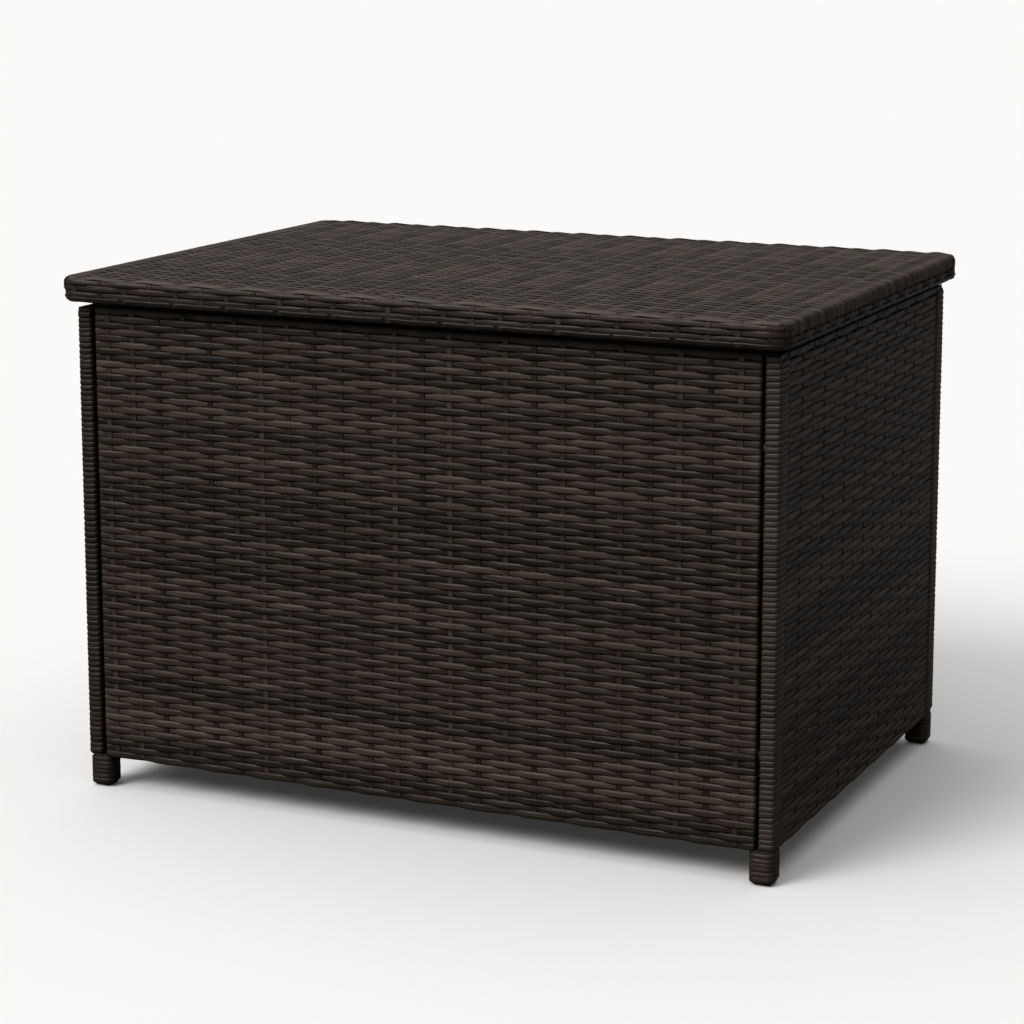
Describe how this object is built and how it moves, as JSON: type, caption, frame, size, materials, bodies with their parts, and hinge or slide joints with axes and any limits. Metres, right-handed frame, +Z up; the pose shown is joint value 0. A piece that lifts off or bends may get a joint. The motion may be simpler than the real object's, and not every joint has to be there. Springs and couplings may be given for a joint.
{
  "type": "deck storage box",
  "caption": "Rectangular woven wicker storage box on short feet with an overhanging flat lid, hinged at the back and held open by struts.",
  "frame": {"origin": "on the ground, under the centre of the box and of its lid", "axes": "+Z up, +X to the box's right along its length, the front faces -Y"},
  "size_m": [0.933, 0.67, 0.6465],
  "materials": {
    "woven_plastic": "satin dark brown extruded strand",
    "powder_coated_steel": "dark powder coat",
    "black_plastic": "moulded",
    "black_rubber": "moulded",
    "zinc_steel": "zinc plated",
    "polished_rod": "polished",
    "black_enamel": "gloss enamel"
  },
  "bodies": {
    "box": {"back_bottom_rail": "powder_coated_steel", "back_stiles": "powder_coated_steel", "back_top_rail": "powder_coated_steel", "back_weave": "woven_plastic", "body_screws": "zinc_steel", "floor_bars": "powder_coated_steel", "floor_ledges": "powder_coated_steel", "floor_rails": "powder_coated_steel", "floor_weave": "woven_plastic", "foot_front_left": "black_plastic", "foot_front_right": "black_plastic", "foot_rear_left": "black_plastic", "foot_rear_right": "black_plastic", "front_bottom_rail": "powder_coated_steel", "front_stiles": "powder_coated_steel", "front_top_rail": "powder_coated_steel", "front_weave": "woven_plastic", "hinge_body_leaf_left": "zinc_steel", "hinge_body_leaf_right": "zinc_steel", "hinge_pin_left": "zinc_steel", "hinge_pin_right": "zinc_steel", "left_top_rail": "powder_coated_steel", "left_weave": "woven_plastic", "leg_front_left": "powder_coated_steel", "leg_front_right": "powder_coated_steel", "leg_rear_left": "powder_coated_steel", "leg_rear_right": "powder_coated_steel", "leg_wrap_front_left": "woven_plastic", "leg_wrap_front_right": "woven_plastic", "leg_wrap_rear_left": "woven_plastic", "leg_wrap_rear_right": "woven_plastic", "lid_pads": "black_rubber", "panel_bolts": "zinc_steel", "panel_spacers": "black_plastic", "right_top_rail": "powder_coated_steel", "right_weave": "woven_plastic", "side_bottom_rails": "powder_coated_steel", "side_stiles": "powder_coated_steel", "strut_body_bracket_left": "zinc_steel", "strut_body_bracket_right": "zinc_steel"},
    "lid": {"hinge_lid_leaf_left": "zinc_steel", "hinge_lid_leaf_right": "zinc_steel", "lid_bars": "powder_coated_steel", "lid_frame_front": "powder_coated_steel", "lid_frame_left": "powder_coated_steel", "lid_frame_rear": "powder_coated_steel", "lid_frame_right": "powder_coated_steel", "lid_screws": "zinc_steel", "lid_weave": "woven_plastic", "strut_lid_bracket_left": "zinc_steel", "strut_lid_bracket_right": "zinc_steel"},
    "strut_cylinder_left": {"strut_cylinder_left": "black_enamel", "strut_cylinder_end_left": "black_plastic"},
    "strut_rod_left": {"strut_rod_left": "polished_rod", "strut_rod_end_left": "black_plastic"},
    "strut_cylinder_right": {"strut_cylinder_right": "black_enamel", "strut_cylinder_end_right": "black_plastic"},
    "strut_rod_right": {"strut_rod_right": "polished_rod", "strut_rod_end_right": "black_plastic"}
  },
  "joints": [
    {"name": "lid_hinge", "type": "hinge", "parent": "box", "child": "lid", "pos_m": [0, 0.3165, 0.611], "axis": [-1, 0, 0], "range_deg": [0, 80]},
    {"name": "strut_swing_left", "type": "hinge", "parent": "box", "child": "strut_cylinder_left", "pos_m": [-0.418, 0.22, 0.428], "axis": [-1, 0, 0], "range_deg": [-1, 7]},
    {"name": "strut_slide_left", "type": "slide", "parent": "strut_cylinder_left", "child": "strut_rod_left", "axis": [0, 0.2346, 0.9721], "range_m": [-0.001, 0.07]},
    {"name": "strut_swing_right", "type": "hinge", "parent": "box", "child": "strut_cylinder_right", "pos_m": [0.418, 0.22, 0.428], "axis": [-1, 0, 0], "range_deg": [-1, 7]},
    {"name": "strut_slide_right", "type": "slide", "parent": "strut_cylinder_right", "child": "strut_rod_right", "axis": [0, 0.2346, 0.9721], "range_m": [-0.001, 0.07]}
  ],
  "couplings": [
    {"joint": "strut_swing_left", "follows": "lid_hinge", "ratio": 0.060267},
    {"joint": "strut_slide_left", "follows": "lid_hinge", "m_per_rad": 0.049251},
    {"joint": "strut_swing_right", "follows": "lid_hinge", "ratio": 0.060267},
    {"joint": "strut_slide_right", "follows": "lid_hinge", "m_per_rad": 0.049251}
  ]
}
